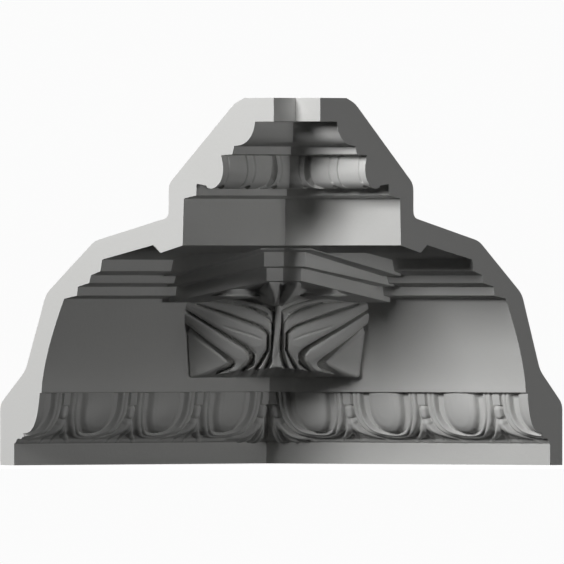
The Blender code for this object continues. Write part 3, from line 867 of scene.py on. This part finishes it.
@dataclass(frozen=True)
class LeafBell:
    """The bracket's rounded bell and the leaf's lobes that wrap it. Lengths are in millimetres.

    A row of the bell gives its height, half its width, and how far out its edge and its nose are. A groove
    lies between two lobes, across and up. The vein and the cuts are ribs taken away, across and up. A rise
    gives a height and the run that it takes. The underside is flat in depth, rising from a place at the wall.
    """

    rows: Points = (
        (66.0, 64.0, 126.5, 149.0), (76.0, 65.0, 128.5, 152.0), (86.0, 66.5, 132.0, 160.0),
        (98.0, 68.0, 138.0, 166.0), (110.0, 69.5, 147.0, 168.0), (118.0, 70.5, 154.0, 165.0),
        (128.0, 71.0, 159.0, 162.0),
    )
    row_margin: float = 12.0
    row_steps: int = 400
    row_blur: int = 40
    grooves: tuple[Points, ...] = (
        ((66.0, 127.9), (30.0, 127.5), (12.0, 123.0), (-1.5, 115.0), (-1.5, 88.0), (-1.5, 66.0)),
        ((68.0, 126.7), (34.0, 124.3), (20.0, 120.5), (3.8, 111.0), (3.4, 88.0), (9.0, 72.0), (12.0, 64.0)),
        ((70.0, 125.6), (40.0, 116.0), (7.0, 104.0), (6.8, 88.0), (17.5, 71.0), (22.0, 64.0)),
        ((70.0, 118.2), (47.0, 104.0), (18.5, 87.0), (19.0, 79.0), (31.0, 69.0), (38.0, 63.0)),
        ((70.0, 108.0), (49.0, 91.0), (33.5, 79.0), (35.0, 75.5), (52.0, 68.0), (60.0, 64.0)),
    )
    groove_rounding: float = 8.0
    groove_turn: float = 5.0
    groove_depth: float = 2.0
    groove_to_width: float = 0.35
    crown: float = 4.4
    crown_to_width: float = 0.32
    lobe_squareness: float = 3.5
    lobe_fullness: float = 0.5
    middle_rise: Pair = (3.6, 3.0)
    outer_rise: Pair = (3.0, 4.0)
    vein: Points = (
        (40.0, 106.0, 1.0, 0.5), (30.0, 102.5, 1.3, 1.2), (20.0, 99.5, 1.3, 1.2), (12.5, 96.5, 1.0, 0.4),
    )
    vein_fullness: float = 1.0
    cuts: tuple[Points, ...] = (
        ((34.0, 124.3, 0.9, 1.8), (20.0, 120.5, 1.2, 4.0), (9.0, 115.5, 1.2, 3.0)),
        ((2.6, 116.0, 1.2, 6.0), (3.2, 106.0, 1.6, 8.0), (3.4, 88.0, 2.2, 9.0), (6.0, 78.0, 2.8, 9.5),
         (10.0, 70.0, 2.6, 8.0), (13.0, 62.0, 2.0, 5.0)),
        ((62.0, 123.2, 1.0, 2.6), (40.0, 116.0, 1.3, 4.2), (14.0, 106.4, 1.3, 5.0), (7.4, 101.0, 1.4, 6.0),
         (7.4, 88.0, 1.4, 7.0), (12.4, 79.0, 2.0, 8.0), (17.5, 71.0, 2.3, 7.5), (22.0, 63.0, 1.8, 5.0)),
        ((72.0, 119.6, 0.9, 3.6), (47.0, 104.0, 1.2, 5.4), (24.0, 90.4, 1.9, 8.4), (18.9, 84.5, 2.9, 10.5),
         (19.8, 78.0, 3.2, 11.0), (26.0, 72.5, 2.6, 9.0), (34.0, 66.5, 1.8, 5.0)),
        ((72.0, 109.8, 0.9, 3.6), (49.0, 91.0, 1.2, 5.4), (37.0, 81.6, 2.0, 8.6), (34.0, 77.6, 3.1, 10.5),
         (38.0, 73.6, 2.8, 9.6), (47.0, 69.6, 2.2, 7.0), (58.0, 65.0, 1.4, 3.0)),
    )
    underside_out: float = 44.0
    underside_height: float = 66.6
    underside_slope: float = 0.125
    underside_tries: int = 12
    foot_wear: float = 1.6
    foot_wear_reach: float = 2.2
    top_overlap: float = 3.0
    buried: float = 12.0
    wall_steps: int = 60
    across_steps: int = 320
    up_steps: int = 125

    def smooth(self, heights: Array, column: Array) -> tuple[Array, Array]:
        """A column of the rows with its corners blurred.

        Args:
            heights: The rows' heights.
            column: The rows' values.

        Returns:
            A table's heights and values.
        """
        grid = np.linspace(heights[0] - self.row_margin, heights[-1] + self.row_margin, self.row_steps)
        line = np.interp(grid, heights, column)
        kernel = np.hanning(2 * self.row_blur + 1)
        padded = np.pad(line, self.row_blur, mode="reflect", reflect_type="odd")
        return grid, np.convolve(padded, kernel / kernel.sum(), "valid")

    def face(self, turn: Array, up: Array) -> tuple[Array, Array, Array, Array]:
        """The plain bell.

        Args:
            turn: Angles round the bell from the mitre.
            up: Heights.

        Returns:
            Distances across and out, and the two values of the outward normal.
        """
        heights, *columns = np.array(self.rows).T
        half, edge, nose = (np.interp(up, *self.smooth(heights, column)) for column in columns)
        across = half * np.sin(turn)
        out = edge + (nose - edge) * np.cos(turn)
        normal = np.stack([np.sin(turn) * (nose - edge), np.cos(turn) * half])
        normal = normal / np.linalg.norm(normal, axis=0)
        return across, out, normal[0], normal[1]

    def from_groove(self, across: Array, up: Array, groove: Points) -> Array:
        """Distances from a groove.

        Args:
            across: Distances from the mitre.
            up: Heights.
            groove: The groove's corners.

        Returns:
            The distances, positive on the groove's outer and lower side.
        """
        line = eased(groove, self.groove_rounding, self.groove_turn)
        best = np.full(across.shape, np.inf)
        signed = np.zeros(across.shape)
        for first, second in zip(line, line[1:]):
            run = second - first
            if run @ run < TINY:
                continue
            t = np.clip(((across - first[0]) * run[0] + (up - first[1]) * run[1]) / (run @ run), 0, 1)
            dx, dy = across - first[0] - t * run[0], up - first[1] - t * run[1]
            gap = np.hypot(dx, dy)
            outer = np.where(run[0] * dy < run[1] * dx, -1, 1)
            signed = np.where(gap < best, gap * outer, signed)
            best = np.minimum(best, gap)
        return signed

    def lobes(self, across: Array, up: Array) -> Array:
        """How far the leaf stands out of the bell.

        Args:
            across: Distances across, with their sign.
            up: Heights.

        Returns:
            The leaf's height at each place, below 0 in its grooves.
        """
        side = np.abs(across)
        gaps = [self.from_groove(side, up, groove) for groove in self.grooves]
        proud = np.full(side.shape, -self.groove_depth)
        for inner, outer in zip(gaps, gaps[1:]):
            width = np.maximum(inner - outer, TINY)
            from_middle = np.abs(2 * np.clip(inner / width, 0, 1) - 1)
            full = np.clip(1 - from_middle**self.lobe_squareness, 0, 1) ** self.lobe_fullness
            crown = np.minimum(self.crown, self.crown_to_width * width)
            depth = np.minimum(self.groove_depth, self.groove_to_width * width)
            proud = np.where((inner > 0) & (outer < 0), (crown + depth) * full - depth, proud)
        for beyond, (rise, run) in ((-gaps[0], self.middle_rise), (gaps[-1], self.outer_rise)):
            edge = rise * lies_between(beyond, 0, run) - self.groove_depth
            proud = np.where(beyond >= 0, edge, proud)
        cut = np.maximum.reduce([rib(side, up, cut) for cut in self.cuts])
        return proud - rib(side, up, self.vein, self.vein_fullness) - cut

    def wall(self, up: Array) -> Array:
        """How far the frieze stands out from its wall at each height."""
        points = bowed(*PlainMembers.frieze, steps=self.wall_steps) / MM
        return np.interp(up, points[:, 1], points[:, 0])

    def underside(self, across: Array, out: Array) -> Array:
        """The height of the bell's underside."""
        from_wall = (out - np.abs(across)) / ROOT_TWO
        return self.underside_height + self.underside_slope * (from_wall - self.underside_out)

    def build(self, casting: Casting) -> Pieces:
        """The bell with its leaf, from its sloping underside up to the crest.

        Args:
            casting: Its maker.

        Returns:
            The piece.
        """
        turn = np.linspace(-math.pi / 2, math.pi / 2, self.across_steps)[None, :]
        foot = np.full(turn.shape, self.underside_height)
        for _ in range(self.underside_tries):
            foot = self.underside(*self.face(turn, foot)[:2])
        top = self.rows[-1][0] + self.top_overlap
        up = foot + (top - foot) * np.linspace(0, 1, self.up_steps)[:, None]
        across, out, normal_across, normal_out = self.face(np.broadcast_to(turn, up.shape), up)
        worn = np.clip(1 - (up - foot) / self.foot_wear_reach, 0, 1)
        proud = self.lobes(across, up) - self.foot_wear * (1 - np.sqrt(np.maximum(1 - worn * worn, 0)))
        front = PLAN.on_diagonal(
            (across + normal_across * proud) * MM, (out + normal_out * proud) * MM, up * MM
        )
        across, behind = across[[0, -1]], up[[0, -1]]
        deep = np.abs(across) + ROOT_TWO * self.wall(behind) - self.buried
        behind[0] = self.underside(across[0], deep[0])
        back = PLAN.on_diagonal(across * MM, deep * MM, behind * MM)
        return [casting.tube("leaf_bell", np.concatenate([front, back[::-1]]))]


@dataclass(frozen=True)
class LeafCrest:
    """The leaf's crest, curling out under the cap. Lengths are in millimetres.

    A row runs from the mitre to one side, each place across, out and up. The eyes and bumps are ribs across
    and up, taken away or added along a direction that is turned forward, by its shares across, out and up.
    """

    rows: tuple[Points, ...] = (
        ((0.0, 155.6, 120.0), (2.1, 157.7, 120.0), (17.7, 161.9, 127.0), (27.6, 161.9, 127.0),
         (48.8, 161.9, 127.0), (71.4, 159.1, 127.0)),
        ((0.0, 200.0, 126.0), (5.5, 206.0, 126.5), (15.0, 198.0, 129.0), (40.0, 215.0, 128.5),
         (54.0, 186.0, 129.5), (72.1, 165.5, 128.0)),
        ((0.0, 220.6, 132.0), (8.5, 226.0, 132.0), (16.5, 203.0, 132.0), (40.0, 219.0, 131.5),
         (53.0, 190.0, 132.0), (71.4, 167.6, 132.0)),
        ((0.0, 229.1, 138.0), (12.0, 236.0, 138.0), (19.5, 206.0, 138.0), (40.0, 221.5, 137.0),
         (52.0, 197.0, 138.0), (70.7, 170.7, 138.0)),
        ((0.0, 230.5, 145.0), (12.7, 239.0, 145.0), (21.0, 208.0, 145.0), (40.0, 222.0, 145.0),
         (52.3, 199.0, 145.0), (71.4, 171.4, 145.0)),
    )
    eyes: tuple[Points, ...] = (
        ((46.0, 131.6, 3.6, 20.0), (52.5, 130.4, 3.6, 20.0)),
        ((24.5, 129.8, 1.6, 6.0), (20.5, 129.4, 2.8, 14.0), (15.0, 127.6, 2.6, 14.0)),
        ((1.8, 137.0, 1.6, 8.0), (2.0, 130.0, 2.4, 14.0), (1.6, 122.0, 2.0, 9.0)),
    )
    eye_fullness: float = 0.5
    bumps: tuple[Points, ...] = (
        ((42.0, 133.5, 3.6, 1.6), (32.0, 134.5, 4.5, 2.4), (24.0, 135.5, 4.0, 1.6)),
        ((10.0, 138.0, 3.6, 1.6), (8.0, 131.0, 3.4, 2.4), (5.4, 125.0, 2.6, 1.8)),
    )
    bump_fullness: float = 0.8
    forward: float = 0.35
    shares: tuple[float, float, float] = (0.4, 1.0, 0.0)
    buried: Pair = (57.0, 73.0)
    across_steps: int = 25
    up_steps: int = 14

    def build(self, casting: Casting) -> Pieces:
        """The crest with its eyes and curled edges.

        Args:
            casting: Its maker.

        Returns:
            The piece.
        """
        half = np.array(self.rows)
        mirrored = half[:, :0:-1] * np.array([-1.0, 1.0, 1.0])
        net = smooth_run(np.concatenate([mirrored, half], axis=1), self.up_steps)
        net = smooth_run(net.transpose(1, 0, 2), self.across_steps).transpose(1, 0, 2)
        across, out, up = net[..., 0], net[..., 1], net[..., 2]
        side = np.abs(across)
        proud = sum(rib(side, up, bump, self.bump_fullness) for bump in self.bumps)
        proud = proud - sum(rib(side, up, eye, self.eye_fullness) for eye in self.eyes)
        normal = np.cross(np.gradient(net, axis=1), np.gradient(net, axis=0))
        normal = normal / np.maximum(np.linalg.norm(normal, axis=2), TINY)[..., None]
        normal[..., 1] = np.abs(normal[..., 1]) + self.forward
        normal = normal / np.linalg.norm(normal, axis=2)[..., None]
        moved = net + normal * np.array(self.shares) * proud[..., None]
        front = PLAN.on_diagonal(*(moved[..., i] * MM for i in range(3)))
        ends = [0, -1]
        deep = side[ends] + ROOT_TWO * np.array(self.buried)[:, None]
        back = PLAN.on_diagonal(across[ends] * MM, deep * MM, up[ends] * MM)
        return [casting.tube("leaf_crest", np.concatenate([front, back[::-1]]))]


@dataclass(frozen=True)
class Midrib:
    """The rib down the leaf's middle. Lengths are in millimetres.

    A station gives its place across, out and up, and its radius. The rib's hidden half is drawn out into the
    bell, so many times as deep as its radius.
    """

    stations: Points = (
        (0.4, 168.0, 124.0, 2.2), (0.3, 170.2, 116.0, 2.4), (0.0, 170.4, 108.0, 2.3),
        (-0.5, 168.8, 100.0, 2.1), (-1.2, 165.0, 92.0, 1.9), (-1.8, 159.0, 84.0, 1.8),
        (-1.6, 152.6, 77.0, 1.7), (-0.6, 150.0, 74.4, 1.5),
    )
    root: float = 5.5
    sides: int = 20
    steps: int = 10

    def build(self, casting: Casting) -> Pieces:
        """The rib as a tapering strand.

        Args:
            casting: Its maker.

        Returns:
            The piece.
        """
        across, out, up, radius = smooth_run(np.array(self.stations), self.steps).T[:, None]
        turn = np.linspace(0, 2 * math.pi, self.sides, endpoint=False)[:, None]
        across = across + np.cos(turn) * radius
        out = out + np.sin(turn) * radius * np.where(np.sin(turn) < 0, self.root, 1.0)
        return [casting.tube("leaf_midrib", PLAN.on_diagonal(across * MM, out * MM, up * MM))]


@dataclass(frozen=True)
class Lamp:
    """A soft square lamp that faces the piece. Azimuth 0 is in front, and positive to the right."""

    name: str
    azimuth: float
    elevation: float
    distance: float
    size: float
    power: float

    def build(self) -> None:
        """Hangs the lamp."""
        light = bpy.data.lights.new(self.name, "AREA")
        light.shape = "SQUARE"
        light.size = self.size
        light.energy = self.power
        lamp = bpy.data.objects.new(self.name, light)
        a, e = math.radians(self.azimuth), math.radians(self.elevation)
        x = math.sin(a) * math.cos(e) * self.distance
        y = -math.cos(a) * math.cos(e) * self.distance
        place = Matrix.Translation((x, y, PLAN.height / 2 + math.sin(e) * self.distance))
        lamp.matrix_world = place @ Matrix.Rotation(a, 4, "Z") @ Matrix.Rotation(math.pi / 2 - e, 4, "X")
        bpy.context.scene.collection.objects.link(lamp)


@dataclass(frozen=True)
class Studio:
    """The floor, the lights and the camera of the photograph. The aim is across and up."""

    azimuth: float = -3.42
    distance: float = 20.0
    view_width: float = 0.43230
    aim: Pair = (0.00092, 0.1403)
    sensor_width: float = 36.0
    clip_end: float = 100.0
    gamma: float = 0.8
    white: float = 0.975
    ambient: float = 0.008
    floor_radius: float = 0.42
    floor_sides: int = 96
    floor_drop: float = 0.0002
    lamps: tuple[Lamp, ...] = (
        Lamp("key", azimuth=-46.5, elevation=20.5, distance=2.4, size=0.80, power=46.0),
        Lamp("fill", azimuth=42.0, elevation=-1.0, distance=2.6, size=0.45, power=11.6),
        Lamp("back_left", azimuth=-138.0, elevation=30.0, distance=2.6, size=1.2, power=22.0),
        Lamp("back_right", azimuth=138.0, elevation=30.0, distance=2.6, size=1.2, power=12.0),
    )

    def backdrop(self) -> None:
        """White behind the piece, and a dim even light from all round."""
        world = bpy.data.worlds.new("studio")
        world.use_nodes = True
        bpy.context.scene.world = world
        board = Board(world.node_tree)
        seen = board.node("ShaderNodeLightPath", {}, {}).outputs["Is Camera Ray"]
        dim, shown = (
            board.node("ShaderNodeBackground", {}, {"Color": (1, 1, 1, 1), "Strength": strength}).outputs[0]
            for strength in (self.ambient, self.white)
        )
        both = board.node("ShaderNodeMixShader", {}, {0: seen, 1: dim, 2: shown})
        board.node("ShaderNodeOutputWorld", {}, {"Surface": both.outputs[0]})

    def floor(self) -> None:
        """A round pale floor under the piece."""
        sheet = bmesh.new()
        bmesh.ops.create_circle(sheet, cap_ends=True, segments=self.floor_sides, radius=self.floor_radius)
        mesh = bpy.data.meshes.new("floor")
        sheet.to_mesh(mesh)
        sheet.free()
        mesh.materials.append(PaleFloor().material())
        floor = bpy.data.objects.new("floor", mesh)
        floor.location = (0, 0, -self.floor_drop)
        floor.visible_diffuse = False
        floor.visible_glossy = False
        floor.visible_shadow = False
        bpy.context.scene.collection.objects.link(floor)

    def camera(self) -> None:
        """A long lens, level with the piece."""
        data = bpy.data.cameras.new("photo_view")
        data.sensor_width = self.sensor_width
        data.lens = self.sensor_width * self.distance / self.view_width
        data.clip_end = self.clip_end
        camera = bpy.data.objects.new("photo_view", data)
        a = math.radians(self.azimuth)
        camera.location = (
            math.sin(a) * self.distance + math.cos(a) * self.aim[0],
            -math.cos(a) * self.distance + math.sin(a) * self.aim[0],
            self.aim[1],
        )
        camera.rotation_euler = (math.pi / 2, 0, a)
        bpy.context.scene.collection.objects.link(camera)
        bpy.context.scene.camera = camera

    def build(self) -> None:
        """Sets the whole studio up."""
        bpy.context.scene.view_settings.view_transform = "Standard"
        bpy.context.scene.view_settings.gamma = self.gamma
        self.backdrop()
        self.floor()
        self.camera()
        for lamp in self.lamps:
            lamp.build()


def main() -> None:
    """Builds the casting piece by piece, and the studio round it."""
    logging.basicConfig(level=logging.INFO, format="%(message)s")
    casting = Casting(FactoryPrimer().material())
    assemblies = (
        PlainMembers(), BigEggAndDart(), SmallEggAndDart(), StepCap(), LeafBell(), LeafCrest(), Midrib(),
    )
    for assembly in assemblies:
        for piece in assembly.build(casting):
            LOG.info("built %s with %d faces", piece.name, len(piece.data.polygons))
    Studio().build()


if __name__ == "__main__":
    main()
